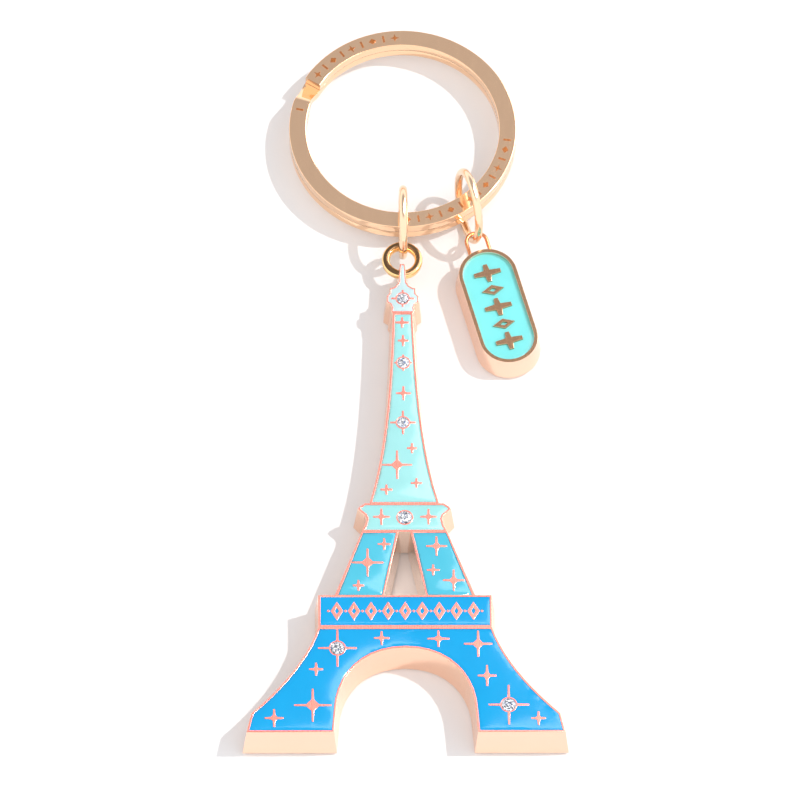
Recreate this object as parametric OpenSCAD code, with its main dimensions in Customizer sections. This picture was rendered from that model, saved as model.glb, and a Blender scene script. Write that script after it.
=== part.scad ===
// Souvenir keychain, lying on its back: a flat split ring that carries a lattice-tower charm
// and a small oval tag, each on its own jump ring. Millimetres, +Z up, +Y towards the ring.
// The origin is under the middle of the keychain, on the surface it lies on.

/* [Key ring] */
// Outer diameter of the split ring
ring_d = 30; // [29:0.5:31]
// Width of its flat band, from inside to outside
band_w = 2.25; // [2:0.05:2.4]
// Thickness of one of its two turns
turn_t = 1.35; // [1.2:0.05:1.4]
// Gap between the two turns
seam = 0.06; // [0.04:0.01:0.1]
// Height of the ring's underside above the surface, where the two links hold it
ring_lift = 1.85; // [1.75:0.05:1.9]

/* [Jump rings] */
// Radius of the tower's link, to the middle of its wire
tower_link_r = 4.35; // [4.3:0.05:4.4]
// Wire radius of the tower's link
tower_link_wire = 0.55; // [0.5:0.01:0.55]
// Radius of the tag's link, to the middle of its wire
tag_link_r = 4.55; // [4.5:0.05:4.6]
// Wire radius of the tag's link
tag_link_wire = 0.52; // [0.48:0.01:0.52]
// Width of the closed butt joint in each link, in degrees
butt_joint = 1; // [0.5:0.5:2]

/* [Tower] */
// Height of the tower, from the feet to the tip of the spire
tower_h = 68.9; // [68.5:0.1:69.5]
// Thickness of the casting
tower_t = 5.6; // [5.4:0.1:5.8]
// How far the side walls spread outwards towards the back
draft = 0.4; // [0.3:0.1:0.6]
// Width of the raised metal line around each enamel cell
rim_w = 0.28; // [0.2:0.02:0.34]
// Depth of the enamel cells
cell_depth = 0.6; // [0.4:0.1:0.8]
// Drop of the enamel below the metal lines
enamel_drop = 0.05; // [0.03:0.01:0.1]
// Distance from the feet to the middle of the key ring
feet_to_ring = 90.05; // [89.95:0.05:90.1]

/* [Stones] */
// Radius of the four smaller stones
small_stone_r = 0.8; // [0.7:0.05:0.85]
// Radius of the two larger stones
large_stone_r = 0.95; // [0.9:0.05:1]

/* [Tag] */
// Length of the tag's face
tag_l = 17.4; // [17:0.1:17.8]
// Width of the tag's face
tag_w = 7.7; // [7.4:0.1:7.9]
// Thickness of the tag
tag_t = 3.95; // [3.8:0.05:4]
// Width of the tag's raised edge
tag_rim = 0.5; // [0.4:0.05:0.6]
// Drop of the tag's enamel below its edge
tag_enamel_drop = 0.55; // [0.4:0.05:0.7]
// Turn of the tag on the surface, in degrees
tag_turn = 15.3; // [15:0.1:15.6]

/* [Hidden] */

// Colours
rose_gold = "#e9b596";
pale_gold = "#f0c39c";
turquoise = "#8cf0f0";
crystal = "#dfe6ec";
finial_blue = "#d8f2f4";
shaft_blue = "#b4f4f2";
leg_blue = "#63d7f2";
deep_blue = "#21b0f2";

// Small overlap that lets one cut or joint run past another
over = 0.5;

// ---- Where the pieces lie ----
overall_l = feet_to_ring + ring_d / 2 + draft;
tower_y = draft - overall_l / 2;
ring_y = tower_y + feet_to_ring;
ring_x = 0.2;
ring_t = 2 * turn_t;
band_mid_r = ring_d / 2 - band_w / 2;
band_mid_z = ring_lift + turn_t;
// The tower's link stands on edge, around the lowest point of the band
tower_link_x = 0.13;
tower_link_y = tower_y + 75.55;
tower_link_z = tower_link_r + tower_link_wire;
// The eyelet hangs from the lower front of that link, at this angle below level
eyelet_angle = 30;
eyelet_reach = tower_link_r - tower_link_wire - 0.63;
eyelet_r = 2.15;
eyelet_wire = 0.53;
eyelet_y = tower_link_y - eyelet_reach * cos(eyelet_angle) - eyelet_r;
eyelet_z = tower_link_z - eyelet_reach * sin(eyelet_angle);
// The tag's link leans a little and stands across the band, right of the tower
tag_link_pos = [8.78, ring_y - 12.16, tag_link_r + tag_link_wire];
tag_link_lean = 96.4;
tag_link_heading = 15;
// Middle of the tag, and the bail's place and size at its upper end
tag_pos = [12.55, ring_y - 26.5, 0];
bail_wire = 0.24;
bail_r = 1.35;
bail_z = 3.2;
bail_leg = 1.65;
bail_root = 0.7;

// ---- Heights on the tower, up from its feet ----
base_top = 15.2;
banner_low = 15.2;
banner_high = 19.85;
leg_high = 29.1;
collar_high = 33.3;
shaft_high = 61.45;
spire_low = 66.15;

// ---- Half widths on the tower ----
foot_half = 20.45;
ankle_half = 19.83;
ankle_y = 2.75;
arch_foot_half = 9.22;
arch_high = 12.2;
banner_half = 11.2;
leg_low_half = 9.05;
leg_high_half = 5.56;
gap_low_half = 2.7;
gap_high_half = 0.75;
shaft_top_half = 1.31;
spire_foot_half = 0.5;
spire_tip_half = 0.33;

// Weight of each control point of a Bezier curve at t
function bezier3(p, t) = (1 - t) * (1 - t) * p[0] + 2 * t * (1 - t) * p[1] + t * t * p[2];
function bezier4(p, t) = pow(1 - t, 3) * p[0] + 3 * t * pow(1 - t, 2) * p[1]
    + 3 * t * t * (1 - t) * p[2] + pow(t, 3) * p[3];
function flip(points) = [for (i = [len(points) - 1:-1:0]) [-points[i][0], points[i][1]]];
function both_sides(right) = concat(right, flip(right));

// The outline moved outwards by d along its corners, which keeps every edge parallel
function edge_normal(a, b) = let (e = b - a) [e[1], -e[0]] / norm(e);
function spread(points, d) = let (n = len(points)) [for (i = [0:n - 1])
    let (before = edge_normal(points[(i + n - 1) % n], points[i]),
        after = edge_normal(points[i], points[(i + 1) % n]))
    points[i] + d * (before + after) / (1 + before * after)];

// The tower widens downwards as an exponential, the shape of a mast that carries its own weight
function shaft_half(y) = shaft_top_half + 0.412 * (exp(0.077 * (shaft_high - y)) - 1);

steps = 10;
base_flank = [for (i = [0:steps]) bezier3(
    [[ankle_half, ankle_y], [13.12, 9.03], [banner_half, base_top]], i / steps)];
arch_right = [for (i = [0:steps]) bezier4(
    [[8.95, 3.3], [8.7, 8.3], [5.5, arch_high], [0, arch_high]], i / steps)];
function flank(low, high) = [for (i = [0:steps]) let (y = low + (high - low) * i / steps)
    [shaft_half(y), y]];
shaft_flank = flank(collar_high, shaft_high);
collar_flank = [[leg_high_half, leg_high], [5.12, 30.05], [4.9, 31], [5.08, 31.5], [5.6, 31.97],
    [6.05, 32.45], [5.75, 32.85], [5.1, collar_high]];
finial_flank = [[1.385, 61.6], [1.52, 61.87], [1.42, 62.3], [1.62, 62.85], [2.08, 63.15],
    [2.08, 64.05], [1.68, 64.5], [1.68, 65.25], [1.3, 65.3], [0.84, 65.6],
    [spire_foot_half, spire_low], [spire_tip_half, tower_h]];

// The arch, from its left foot over the top to its right foot
arch_line = concat([[-arch_foot_half, 0]],
    [for (i = [0:steps]) [-arch_right[i][0], arch_right[i][1]]],
    [for (i = [steps - 1:-1:0]) arch_right[i]],
    [[arch_foot_half, 0]]);
base_side = concat([[foot_half, 0]], base_flank);
tower_side = concat(base_side, [[banner_half, banner_high], [leg_low_half, banner_high]],
    collar_flank, shaft_flank, finial_flank);
tower_outline = concat(both_sides(tower_side), arch_line);
gap_outline = [[-gap_low_half, banner_high], [gap_low_half, banner_high],
    [gap_high_half, leg_high], [-gap_high_half, leg_high]];

// ---- Enamel cells, as closed outlines inside the metal lines ----
line = rim_w / 2;
cell_finial = spread(both_sides(finial_flank), -0.18);
cell_shaft = spread(both_sides(flank(collar_high - line, shaft_high + line)), -rim_w);
cell_collar = spread(both_sides(collar_flank), -rim_w);
cell_right_leg = spread([[gap_low_half, banner_high - rim_w], [leg_low_half, banner_high - rim_w],
    [leg_high_half, leg_high + line], [gap_high_half, leg_high + line]], -rim_w);
cell_left_leg = flip(cell_right_leg);
cell_banner = spread([[-banner_half, banner_low], [banner_half, banner_low],
    [banner_half, banner_high], [-banner_half, banner_high]], -rim_w);
cell_base = spread(concat(both_sides(base_side), arch_line), -rim_w);
cells = [cell_finial, cell_shaft, cell_collar, cell_left_leg, cell_right_leg, cell_banner,
    cell_base];

// ---- Four-pointed stars: x, y, half width, half height ----
finial_stars = [[0, 63.7, 1.5, 1.28]];
shaft_stars = [[-0.1, 60.1, 0.9, 0.79], [0, 57.4, 0.69, 0.83], [0, 54.1, 1.14, 1.2],
    [0, 49.55, 0.98, 1.04], [-0.1, 45.2, 1.66, 1.74], [1.05, 41.4, 0.65, 0.74],
    [-0.9, 38.95, 1.94, 2.1], [1.6, 36.25, 0.74, 0.73], [-2.3, 35.3, 0.78, 0.74]];
collar_stars = [[-2.98, 31.3, 1.1, 1.2], [3.12, 31.3, 1.07, 1.14]];
left_leg_stars = [[-2.65, 27.3, 0.84, 0.88], [-4.8, 24.6, 2.05, 2.05], [-6, 21.25, 0.74, 0.8]];
right_leg_stars = [[4.12, 27, 1.35, 1.43], [3.65, 23.5, 0.84, 0.8], [6.3, 22, 1.4, 1.55]];
base_stars = [[-8.75, 12.15, 2.5, 2.7], [-3.05, 13.6, 1, 1], [4.25, 13.5, 1.42, 1.2],
    [9.35, 12.75, 1.83, 1.9], [-11.5, 9.1, 0.9, 0.94], [10.45, 8.15, 1.2, 1.52],
    [-11.95, 3.9, 2.4, 2.38], [13.2, 3.95, 2.59, 2.85], [-16.9, 2.05, 1.22, 1.3],
    [17, 2, 0.93, 1]];

// ---- Stones: x, y, radius ----
stone_finial_at = [0, 63.7, small_stone_r];
stone_upper_shaft_at = [0, 54.1, small_stone_r];
stone_lower_shaft_at = [-0.1, 45.2, small_stone_r];
stone_collar_at = [0.04, 31.2, large_stone_r];
stone_left_foot_at = [-8.75, 12.15, large_stone_r];
stone_right_foot_at = [13.2, 3.95, large_stone_r];
stones = [stone_finial_at, stone_upper_shaft_at, stone_lower_shaft_at, stone_collar_at,
    stone_left_foot_at, stone_right_foot_at];
// Height of the floor of the cells, and width of the metal collet around a stone
cell_floor = tower_t - cell_depth;
collet = 0.14;

// ---- Raised ornament on the banner and the tag ----
lozenge_count = 9;
lozenge_pitch = 2.2;
lozenge_half = [0.8, 1.35];
bead_half = 0.22;
banner_mid = (banner_low + banner_high) / 2;
tag_r = tag_w / 2;
tag_straight = tag_l / 2 - tag_r;
tag_star_half = [1.8, 1.3];
tag_lozenge_half = [1.5, 0.75];
tag_pitch = 2.62;
tag_mark_h = 0.3;

// ==== Shared shapes ====

// A straight prism whose walls spread outwards by d towards z = 0, extended by e at both ends
module drafted(points, t, d, e = 0) {
    n = len(points);
    low = spread(points, d * (t + e) / t);
    high = spread(points, -d * e / t);
    polyhedron(
        points = concat([for (p = low) [p[0], p[1], -e]], [for (p = high) [p[0], p[1], t + e]]),
        faces = concat([[for (i = [0:n - 1]) i]], [[for (i = [n - 1:-1:0]) n + i]],
            [for (i = [0:n - 1]) [i, n + i, n + (i + 1) % n, (i + 1) % n]]));
}

// A four-pointed star: half the width of an arm at its tip and at its foot
module star(half_x, half_y, tip = 0.12, waist = 0.16) {
    hub = 0.34;
    polygon(concat(
        [[half_x, -tip], [half_x, tip], [hub * half_x, waist], [waist, hub * half_y]],
        [[tip, half_y], [-tip, half_y], [-waist, hub * half_y], [-hub * half_x, waist]],
        [[-half_x, tip], [-half_x, -tip], [-hub * half_x, -waist], [-waist, -hub * half_y]],
        [[-tip, -half_y], [tip, -half_y], [waist, -hub * half_y], [hub * half_x, -waist]]));
}

module stars(list) {
    for (s = list) translate([s[0], s[1]]) star(s[2], s[3]);
}

module diamond(half) {
    polygon([[half[0], 0], [0, half[1]], [-half[0], 0], [0, -half[1]]]);
}

// A lozenge outline, pierced in the middle
module lozenge(half) {
    difference() {
        diamond(half);
        diamond(half * 0.38);
    }
}

// A row of pierced lozenges with a small bead between neighbours
module banner_ornament() {
    first = -(lozenge_count - 1) / 2;
    for (i = [0:lozenge_count - 1]) translate([(first + i) * lozenge_pitch, banner_mid])
        lozenge(lozenge_half);
    for (i = [0:lozenge_count]) translate([(first + i - 0.5) * lozenge_pitch, banner_mid])
        diamond([bead_half, bead_half]);
}

// Three stars and two lozenges along the tag
module tag_ornament() {
    for (i = [-2:2]) translate([0, i * tag_pitch])
        if (i % 2 == 0) star(tag_star_half[0], tag_star_half[1], 0.28, 0.4);
        else lozenge(tag_lozenge_half);
}

// Outline with two straight sides and two round ends, in half circles of 24 steps
function round_ended(half_l, r) = concat(
    [for (a = [0:7.5:180]) [r * cos(a), half_l + r * sin(a)]],
    [for (a = [180:7.5:360]) [r * cos(a), -half_l + r * sin(a)]]);

// Wire bent to a closed ring about Z
module wire_ring(r, wire, angle = 360) {
    rotate_extrude(angle = angle, $fn = 96) translate([r, 0]) circle(r = wire, $fn = 32);
}

// ==== Key ring ====

// A flat band wound to two turns. The turns are joined only over the short crossover,
// and each has its own end there, so a key can be worked in between them.
module key_ring() {
    bevel = 0.12;
    crossover = 150;
    crossover_angle = 14;
    end_gap = 1.2;
    past = 0.3;
    inner = ring_d / 2 - band_w;
    outer = ring_d / 2;
    color(rose_gold) translate([ring_x, ring_y, ring_lift]) difference() {
        rotate_extrude($fn = 128) polygon([[inner + bevel, 0], [outer - bevel, 0],
            [outer, bevel], [outer, ring_t - bevel], [outer - bevel, ring_t],
            [inner + bevel, ring_t], [inner, ring_t - bevel], [inner, bevel]]);
        rotate([0, 0, crossover + crossover_angle])
            rotate_extrude(angle = 360 - crossover_angle, $fn = 128)
                translate([inner - over, turn_t - seam / 2]) square([band_w + 2 * over, seam]);
        rotate([0, 0, crossover - past]) rotate_extrude(angle = end_gap + past, $fn = 128)
            translate([inner - over, turn_t]) square([band_w + 2 * over, turn_t + over]);
        rotate([0, 0, crossover + crossover_angle - end_gap])
            rotate_extrude(angle = end_gap + past, $fn = 128)
                translate([inner - over, -over]) square([band_w + 2 * over, turn_t + over]);
    }
}

// ==== Links ====

// The tower's jump ring, standing on edge, with its butt joint at the bottom
module tower_link() {
    color(pale_gold) translate([tower_link_x, tower_link_y, tower_link_z]) rotate([0, 90, 0])
        rotate([0, 0, butt_joint / 2])
            wire_ring(tower_link_r, tower_link_wire, 360 - butt_joint);
}

// The tag's jump ring, leaning a little
module tag_link() {
    color(pale_gold) translate(tag_link_pos) rotate([0, tag_link_lean, tag_link_heading])
        rotate([0, 0, butt_joint / 2])
            wire_ring(tag_link_r, tag_link_wire, 360 - butt_joint);
}

// ==== Tower ====

module at_tower() {
    translate([0, tower_y, 0]) children();
}

// The plain die-cast body, with walls that spread towards the back
module tower_casting() {
    color(rose_gold) at_tower() difference() {
        intersection() {
            drafted(tower_outline, cell_floor, draft, over / 2);
            linear_extrude(cell_floor)
                translate([-tower_h / 2, -over]) square([tower_h, tower_h + 2 * over]);
        }
        drafted(gap_outline, cell_floor, -draft, over);
    }
}

// The raised metal on its face: the rims of the cells, the stars, the ornament on the banner,
// and a round collet for each stone
module tower_cell_walls() {
    color(rose_gold) at_tower() translate([0, 0, cell_floor]) linear_extrude(cell_depth)
        difference() {
            polygon(tower_outline);
            polygon(gap_outline);
            for (cell = cells) pool(cell);
            for (s = stones) translate([s[0], s[1]]) circle(r = s[2], $fn = 48);
        }
}

// A cell, less the stars, ornament and stone collets that stand in it
module pool(cell) {
    difference() {
        polygon(cell);
        raised_pattern();
        for (s = stones) translate([s[0], s[1]]) circle(r = s[2] + collet, $fn = 48);
    }
}

module raised_pattern() {
    stars(concat(finial_stars, shaft_stars, collar_stars, left_leg_stars, right_leg_stars,
        base_stars));
    banner_ornament();
}

// The wire eye that the casting is cast around, at the back of the spire
module tower_eyelet() {
    color(pale_gold) translate([0, eyelet_y, eyelet_z]) wire_ring(eyelet_r, eyelet_wire);
}

// The enamel that fills one pool, a little below the metal lines
module enamel(cell, tone) {
    color(tone) at_tower() translate([0, 0, cell_floor])
        linear_extrude(cell_depth - enamel_drop) pool(cell);
}

module enamel_finial() { enamel(cell_finial, finial_blue); }
module enamel_shaft() { enamel(cell_shaft, shaft_blue); }
module enamel_collar() { enamel(cell_collar, shaft_blue); }
module enamel_left_leg() { enamel(cell_left_leg, leg_blue); }
module enamel_right_leg() { enamel(cell_right_leg, leg_blue); }
module enamel_banner() { enamel(cell_banner, deep_blue); }
module enamel_base() { enamel(cell_base, deep_blue); }

// ==== Stones ====

// A round brilliant: table, crown, thin girdle and pavilion, standing in its seat
module stone(at) {
    r = at[2];
    crown = 0.3 * r;
    girdle = 0.06;
    pavilion = cell_depth - 0.04;
    color(crystal) at_tower() translate([at[0], at[1], cell_floor])
        rotate_extrude($fn = 48) polygon([[0, 0], [0.2 * r, 0.02], [r, pavilion],
            [r, pavilion + girdle], [0.56 * r, pavilion + girdle + crown],
            [0, pavilion + girdle + crown]]);
}

module stone_finial() { stone(stone_finial_at); }
module stone_upper_shaft() { stone(stone_upper_shaft_at); }
module stone_lower_shaft() { stone(stone_lower_shaft_at); }
module stone_collar() { stone(stone_collar_at); }
module stone_left_foot() { stone(stone_left_foot_at); }
module stone_right_foot() { stone(stone_right_foot_at); }

// ==== Tag ====

module at_tag() {
    translate(tag_pos) rotate([0, 0, tag_turn]) children();
}

module bail_shape() {
    straight = bail_root + bail_leg;
    translate([0, tag_l / 2, bail_z]) {
        translate([0, bail_leg, 0]) rotate_extrude(angle = 180, $fn = 96)
            translate([bail_r, 0]) circle(r = bail_wire, $fn = 32);
        for (side = [-1, 1]) translate([side * bail_r, bail_leg, 0]) rotate([90, 0, 0])
            cylinder(h = straight, r = bail_wire, $fn = 32);
    }
}

// The tag's tray, with its ornament standing in the recess and a hole for each bail leg
module tag_casting() {
    recess = tag_enamel_drop + 0.5;
    color(rose_gold) at_tag() difference() {
        union() {
            difference() {
                drafted(round_ended(tag_straight, tag_r), tag_t, draft);
                translate([0, 0, tag_t - recess]) linear_extrude(recess + over)
                    polygon(round_ended(tag_straight, tag_r - tag_rim));
            }
            translate([0, 0, tag_t - recess - over])
                linear_extrude(recess + over - tag_enamel_drop + tag_mark_h) tag_ornament();
        }
        bail_shape();
    }
}

module tag_enamel() {
    color(turquoise) at_tag() translate([0, 0, tag_t - tag_enamel_drop - 0.5])
        linear_extrude(0.5) difference() {
            polygon(round_ended(tag_straight, tag_r - tag_rim));
            tag_ornament();
        }
}

// The bent wire loop that the tag hangs by
module tag_bail() {
    color(pale_gold) at_tag() bail_shape();
}

key_ring();
tower_link();
tower_casting();
tower_cell_walls();
tower_eyelet();
enamel_finial();
enamel_shaft();
enamel_collar();
enamel_left_leg();
enamel_right_leg();
enamel_banner();
enamel_base();
stone_finial();
stone_upper_shaft();
stone_lower_shaft();
stone_collar();
stone_left_foot();
stone_right_foot();
tag_link();
tag_casting();
tag_enamel();
tag_bail();
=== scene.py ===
# %% [markdown]
# # A souvenir keychain, finished in Blender
# The imported parts come first: they fix every size and place, and each piece below is made
# around them. Their box is kept.

# %% Load the imported parts
import math

import bmesh
import bpy
import numpy as np
from mathutils import Matrix, Vector
from mathutils.geometry import delaunay_2d_cdt
from mathutils.kdtree import KDTree


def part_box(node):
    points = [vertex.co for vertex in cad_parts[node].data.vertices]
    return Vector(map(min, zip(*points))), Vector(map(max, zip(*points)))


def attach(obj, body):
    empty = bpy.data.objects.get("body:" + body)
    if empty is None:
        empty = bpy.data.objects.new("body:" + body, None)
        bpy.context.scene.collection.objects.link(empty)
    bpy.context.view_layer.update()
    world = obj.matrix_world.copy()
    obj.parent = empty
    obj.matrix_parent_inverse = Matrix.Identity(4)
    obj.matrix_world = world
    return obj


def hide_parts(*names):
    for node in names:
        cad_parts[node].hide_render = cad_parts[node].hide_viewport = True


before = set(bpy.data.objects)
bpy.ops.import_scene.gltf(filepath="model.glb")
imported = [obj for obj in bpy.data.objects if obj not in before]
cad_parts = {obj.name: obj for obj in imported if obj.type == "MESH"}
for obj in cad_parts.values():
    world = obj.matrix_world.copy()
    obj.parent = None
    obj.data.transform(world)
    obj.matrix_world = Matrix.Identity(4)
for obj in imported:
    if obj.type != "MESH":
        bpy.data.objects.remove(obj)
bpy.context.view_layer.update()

# %% [markdown]
# ## Working in millimetres
# A charm this small is easier to think about in millimetres, while the scene is in metres.
# So every shape is worked out in millimetres and scaled once, when its mesh is made.

# %% Turn points and faces into a finished piece
MM = 0.001
SMOOTH_UP_TO = math.radians(38)
LEVEL = 0.9999
SAME_POINT, NO_EDGE = 0.0008, 0.0004


def make_piece(name, points, faces, place=Matrix(), flat=False):
    """A mesh object from points in mm. Its level faces and its sharper corners stay crisp."""
    mesh = bpy.data.meshes.new(name)
    mesh.from_pydata([tuple(p) for p in points], [], [tuple(f) for f in faces])
    shape = bmesh.new()
    shape.from_mesh(mesh)
    bmesh.ops.remove_doubles(shape, verts=shape.verts, dist=SAME_POINT)
    bmesh.ops.dissolve_degenerate(shape, edges=shape.edges, dist=NO_EDGE)
    bmesh.ops.recalc_face_normals(shape, faces=shape.faces)
    bmesh.ops.transform(shape, matrix=Matrix.Scale(MM, 4) @ place, verts=shape.verts)
    shape.to_mesh(mesh)
    shape.free()
    piece = bpy.data.objects.new(name, mesh)
    bpy.context.scene.collection.objects.link(piece)
    if not flat:
        mesh.shade_smooth()
        mesh.set_sharp_from_angle(angle=SMOOTH_UP_TO)
        for face in mesh.polygons:
            face.use_smooth = abs(face.normal.z) < LEVEL
        even = piece.modifiers.new("Even shading", "WEIGHTED_NORMAL")
        even.keep_sharp = True
    return piece


def fit_piece(piece, material, body, slot, *nodes):
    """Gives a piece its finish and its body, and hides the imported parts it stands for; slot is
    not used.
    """
    piece.data.materials.append(material)
    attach(piece, body)
    if nodes:
        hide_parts(*nodes)
    print(f"{piece.name}: {len(piece.data.polygons)} faces")


print(f"corners over {math.degrees(SMOOTH_UP_TO):.0f} degrees stay crisp")

# %% [markdown]
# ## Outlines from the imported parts
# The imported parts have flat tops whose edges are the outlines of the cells, stars and rims.
# Reading those edges back means that nothing has to be drawn twice.

# %% Put an outline in order
CRUMB = 0.012


def counter_clockwise(loop):
    """The outline in the order that has its inside on the left."""
    after = np.roll(loop, -1, axis=0)
    area = (loop[:, 0] * after[:, 1] - after[:, 0] * loop[:, 1]).sum()
    return loop if area > 0 else loop[::-1]


def without_crumbs(loop):
    """The outline without points that lie closer than a crumb to the one before."""
    kept = [loop[0]]
    for point in loop[1:]:
        if np.linalg.norm(point - kept[-1]) > CRUMB:
            kept.append(point)
    return np.array(kept)


def size_of(loop):
    """The longer side of an outline's box."""
    return np.ptp(loop, axis=0).max()


print("a unit square is", size_of(np.array([(0, 0), (1, 0), (1, 1), (0, 1)])), "across")

# %% [markdown]
# An edge that belongs to only one of the upward triangles is on the border of a flat top, so
# these edges, followed end to end, are its outlines. Following the edges of the part itself
# is exact. Drawing the curves by hand again would not be.

# %% Read the closed outlines of a part's upward faces at one height
AT_HEIGHT = 0.004


def outlines_at(node, height):
    """Closed outlines, in mm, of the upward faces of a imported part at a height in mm."""
    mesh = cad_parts[node].data
    corners = np.array([v.co[:] for v in mesh.vertices]) / MM
    keys = [tuple(np.round(c[:2], 3)) for c in corners]
    uses = {}
    for triangle in mesh.polygons:
        ids = list(triangle.vertices)
        if any(abs(corners[i][2] - height) > AT_HEIGHT for i in ids):
            continue
        for a, b in zip(ids, ids[1:] + ids[:1]):
            pair = frozenset((keys[a], keys[b]))
            if len(pair) == 2:
                uses[pair] = uses.get(pair, 0) + 1
    beside = {}
    for pair in sorted((tuple(sorted(p)) for p, n in uses.items() if n == 1)):
        for here, there in (pair, pair[::-1]):
            beside.setdefault(here, []).append(there)
    found = []
    while beside:
        start = here = min(beside)
        loop = []
        while beside.get(here):
            loop.append(here)
            there = beside[here].pop()
            beside[there].remove(here)
            here = there
            if here == start:
                break
        for key in [k for k, ends in beside.items() if not ends]:
            del beside[key]
        if len(loop) > 2:
            found.append(counter_clockwise(without_crumbs(np.array(loop))))
    return found


print("packed parts to read:", len(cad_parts))

# %% Outlines of the tower and of the gap between its legs
tower_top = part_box("tower_cell_walls")[1][2] / MM
cell_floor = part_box("tower_casting")[1][2] / MM
tower_loops = sorted(outlines_at("tower_casting", cell_floor), key=size_of)
tower_outline, gap_outline = tower_loops[-1], tower_loops[0]
print(f"tower outline: {len(tower_outline)} points; face at {tower_top:.2f} mm")

# %% [markdown]
# ## One way to make every cast shape
# Castings, rims, stars and trays are all an outline that is pulled up and eased over at its
# edges. A stack of the same outline, each level moved in or out a little, gives the rounded
# edges without any bevel tool, and works for outlines with holes in them.

# %% Move an outline, and test what is inside it
MOST_MITRE = 0.35


def moved(loop, distance):
    """The outline moved outwards, with every edge kept parallel and long corners cut short."""
    before = loop - np.roll(loop, 1, axis=0)
    before = np.stack([before[:, 1], -before[:, 0]], 1) / np.linalg.norm(before, axis=1)[:, None]
    after = np.roll(before, -1, axis=0)
    turn = np.maximum(1 + (before * after).sum(1), MOST_MITRE)[:, None]
    return loop + distance * (before + after) / turn


def inside(points, loops):
    """Whether each point has an odd number of outlines around it."""
    points = np.asarray(points)
    odd = np.zeros(len(points), bool)
    for loop in loops:
        after = np.roll(loop, -1, axis=0)
        for a, b in zip(loop, after):
            if a[1] == b[1]:
                continue
            spans = (a[1] > points[:, 1]) != (b[1] > points[:, 1])
            cross = a[0] + (points[:, 1] - a[1]) * (b[0] - a[0]) / (b[1] - a[1])
            odd ^= spans & (points[:, 0] < cross)
    return odd


square = np.array([(-1.0, -1), (1, -1), (1, 1), (-1, 1)])
print("a 2 mm square moved out by 0.5 mm is", size_of(moved(square, 0.5)), "mm across")
print("its middle is inside:", bool(inside([(0, 0)], [square])[0]))

# %% [markdown]
# A flat face with holes in it needs triangles that keep to its outlines. A constrained
# triangulation gives those, where a plain polygon face would bridge the holes. The walls
# between two levels are plain quads.

# %% Fill outlines, and pull them up through levels
def filled(loops, extra=None):
    """Points and triangles that fill the outlines, less the holes, through any extra points."""
    points = np.vstack(loops if extra is None else list(loops) + [extra])
    edges, first = [], 0
    for loop in loops:
        n = len(loop)
        edges += [(first + i, first + (i + 1) % n) for i in range(n)]
        first += n
    done = delaunay_2d_cdt([Vector(p) for p in points], edges, [], 0, 1e-6)
    flat = np.array([v[:] for v in done[0]])
    triangles = np.array(done[2])
    return flat, triangles[inside(flat[triangles].mean(1), loops)]


def stacked(loops, levels):
    """Points and faces of the outlines pulled through (distance outwards, height) levels."""
    holes = [inside(loop[:1], [o for o in loops if o is not loop])[0] for loop in loops]
    rings = [[moved(loop, -d if hole else d) for loop, hole in zip(loops, holes)]
             for d, _ in levels]
    points, faces = [], []
    for k in range(len(loops)):
        n = len(loops[k])
        first = len(points)
        for ring, (_, height) in zip(rings, levels):
            points += [(x, y, height) for x, y in ring[k]]
        for level in range(len(levels) - 1):
            low = first + level * n
            faces += [(low + i, low + (i + 1) % n, low + n + (i + 1) % n, low + n + i)
                      for i in range(n)]
    for ring, (_, height) in ((rings[0], levels[0]), (rings[-1], levels[-1])):
        flat, triangles = filled(ring)
        faces += [tuple(len(points) + t) for t in triangles]
        points += [(x, y, height) for x, y in flat]
    return points, faces


print("a filled square has", len(filled([square])[1]), "triangles")

# %% The levels of a rounded edge
def eased(radius, steps):
    """(distance in from the wall, height) points of a quarter round, from flat to upright."""
    turns = [math.pi / 2 * i / steps for i in range(steps + 1)]
    return [(radius * (1 - math.sin(a)), radius * (1 - math.cos(a))) for a in turns]


print("a quarter round of 0.5 mm:", [tuple(round(v, 2) for v in p) for p in eased(0.5, 4)])

# %% [markdown]
# ## One way to bend wire
# Jump rings, the eye, the bail and the flat key ring are all a section carried along a line
# that lies in one plane. A curve with a bevel would do for round wire, but not for the flat
# band, so one sweep serves them all.

# %% Carry a section along a line
END_EASE, END_SIZE = 0.04, 0.94


def swept(path, sections, across, closed=False):
    """Points and faces of sections carried along a path. Each section is (out, across) mm."""
    path = np.asarray(path, float)
    across = np.asarray(across, float) / np.linalg.norm(across)
    count = len(path)
    if closed:
        along = np.roll(path, -1, axis=0) - np.roll(path, 1, axis=0)
    else:
        along = np.gradient(path, axis=0)
    along /= np.linalg.norm(along, axis=1)[:, None]
    out = np.cross(along, across)
    points = []
    for i in range(count):
        points += [path[i] + a * out[i] + b * across for a, b in sections[i]]
    n = len(sections[0])
    spans = count if closed else count - 1
    faces = [(i * n + j, i * n + (j + 1) % n,
              (i + 1) % count * n + (j + 1) % n, (i + 1) % count * n + j)
             for i in range(spans) for j in range(n)]
    if not closed:
        faces += [tuple(range(n)), tuple(range((count - 1) * n, count * n))]
    return points, faces


print("wire ends are eased over", END_EASE, "mm")

# %% Sections, arcs and cut ends
def round_section(radius, squareness=2.0, steps=28):
    """A round wire's section, or one with flattened sides where squareness is over 2."""
    turns = np.arange(steps) * 2 * math.pi / steps
    power = 2 / squareness
    return radius * np.stack([np.sign(np.cos(turns)) * np.abs(np.cos(turns)) ** power,
                              np.sign(np.sin(turns)) * np.abs(np.sin(turns)) ** power], 1)


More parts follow.
